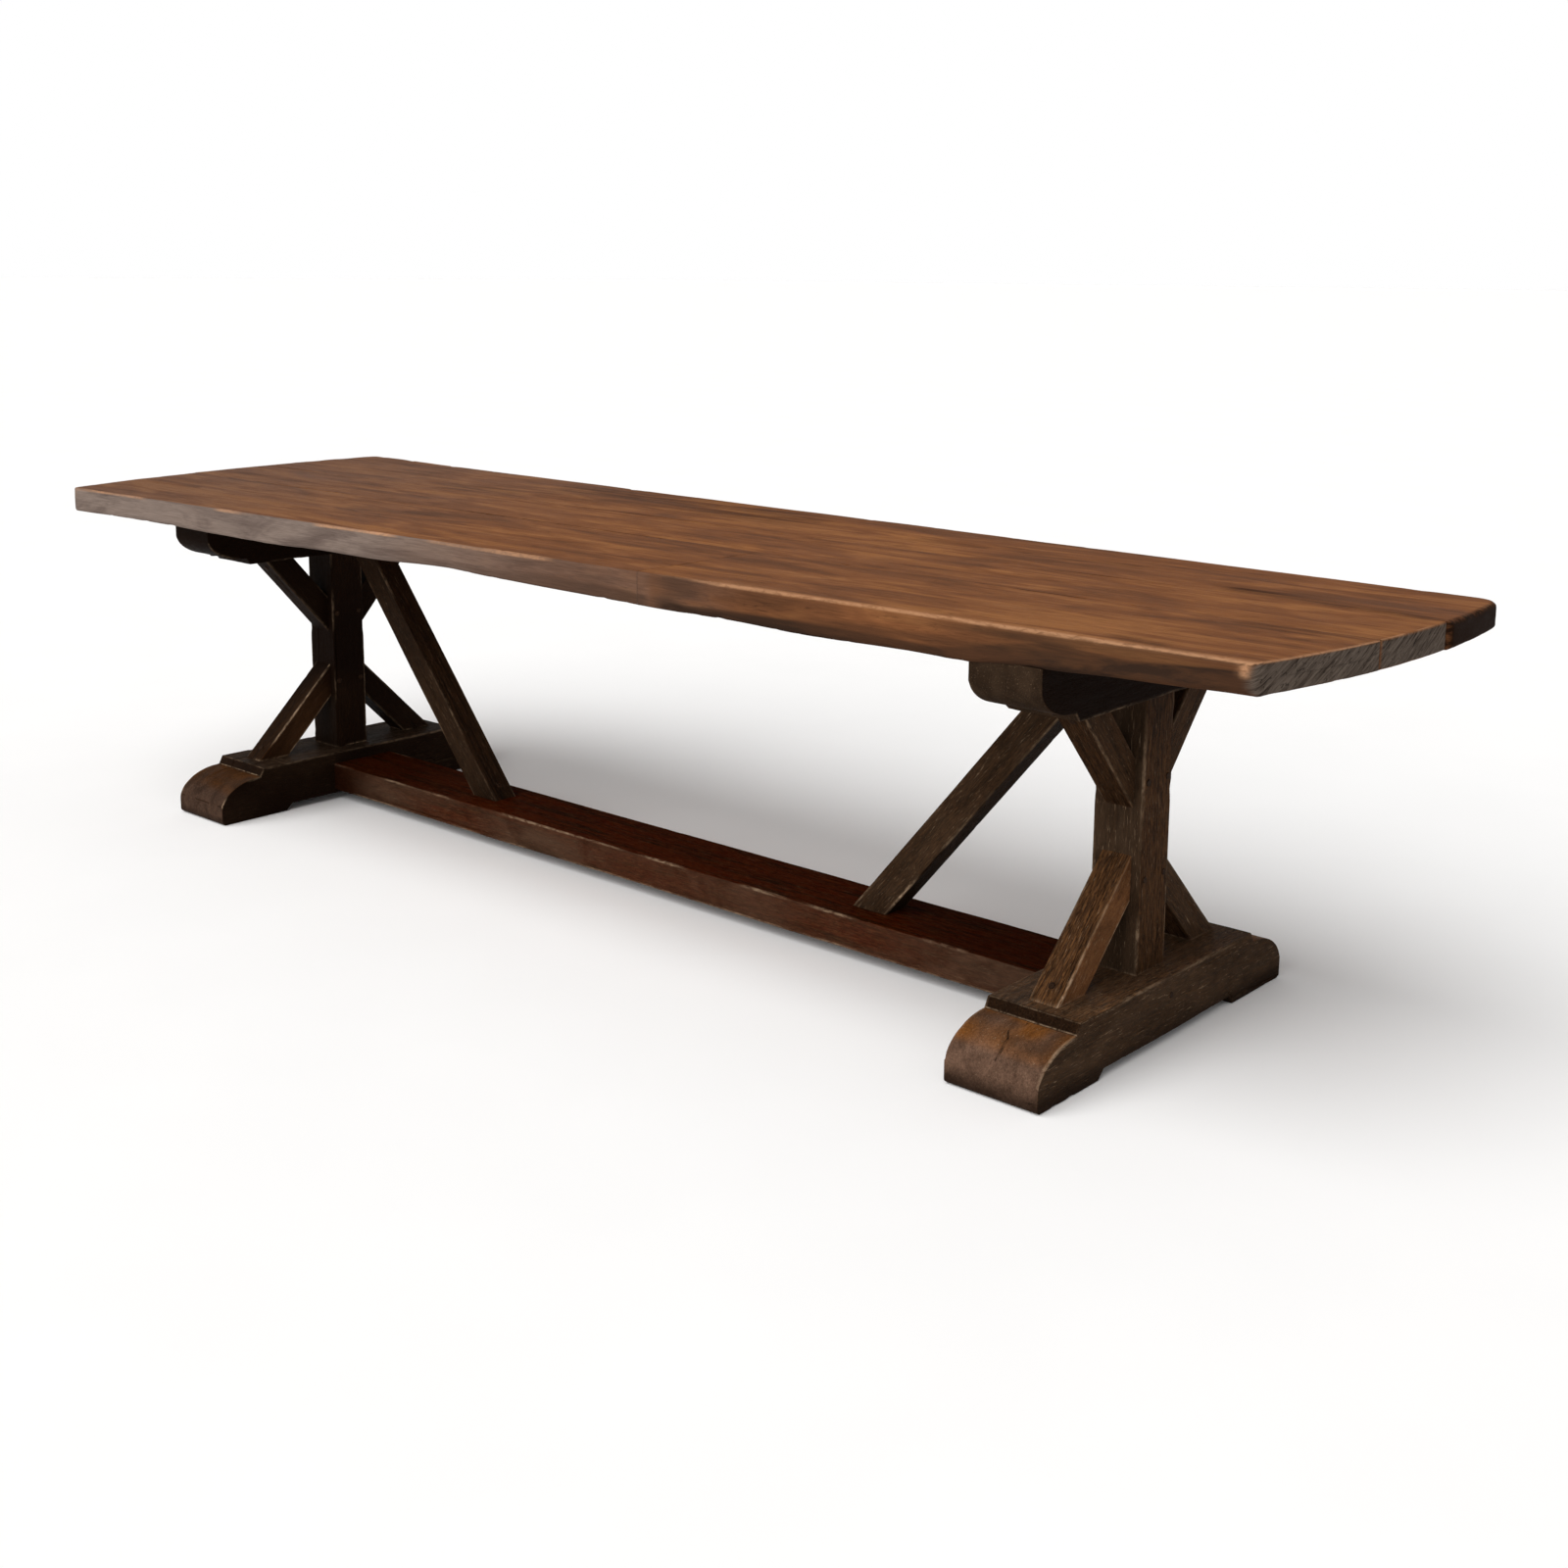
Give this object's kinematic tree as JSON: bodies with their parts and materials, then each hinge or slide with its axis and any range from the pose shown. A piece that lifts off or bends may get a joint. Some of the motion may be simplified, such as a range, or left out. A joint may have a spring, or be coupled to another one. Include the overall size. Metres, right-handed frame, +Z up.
{
  "type": "refectory table",
  "caption": "Long plank-topped dining table on braced trestles with sledge feet, tied by a low flat stretcher and long diagonal braces.",
  "frame": {"origin": "on the floor below the middle of the table", "axes": "+X along the table towards the narrower end, -Y towards the front edge with the butt seam, +Z up"},
  "size_m": [3.1985, 0.9142, 0.76],
  "materials": {
    "top_oak": "waxed old oak planks, warm brown, worn paler along the front edge",
    "frame_oak": "dark stained and waxed oak with open grain, worn on the feet",
    "peg_oak": "cleft oak pegs, end grain showing",
    "dowel_oak": "plain turned oak dowels, hidden in the joints"
  },
  "bodies": {
    "root": {"front_board_left": "top_oak", "front_board_right": "top_oak", "middle_board": "top_oak", "back_board": "top_oak", "stretcher": "frame_oak", "left_foot": "frame_oak", "left_post": "frame_oak", "left_bearer": "frame_oak", "left_long_brace": "frame_oak", "left_front_lower_brace": "frame_oak", "left_front_upper_brace": "frame_oak", "left_back_lower_brace": "frame_oak", "left_back_upper_brace": "frame_oak", "right_foot": "frame_oak", "right_post": "frame_oak", "right_bearer": "frame_oak", "right_long_brace": "frame_oak", "right_front_lower_brace": "frame_oak", "right_front_upper_brace": "frame_oak", "right_back_lower_brace": "frame_oak", "right_back_upper_brace": "frame_oak", "post_foot_pegs": "peg_oak", "post_bearer_pegs": "peg_oak", "lower_brace_post_pegs": "peg_oak", "upper_brace_post_pegs": "peg_oak", "lower_brace_foot_pegs": "peg_oak", "upper_brace_bearer_pegs": "peg_oak", "stretcher_pegs": "peg_oak", "long_brace_foot_pegs": "peg_oak", "long_brace_head_pegs": "peg_oak", "top_pegs": "peg_oak", "front_joint_dowels": "dowel_oak", "back_joint_dowels": "dowel_oak", "butt_seam_dowels": "dowel_oak"}
  },
  "joints": []
}
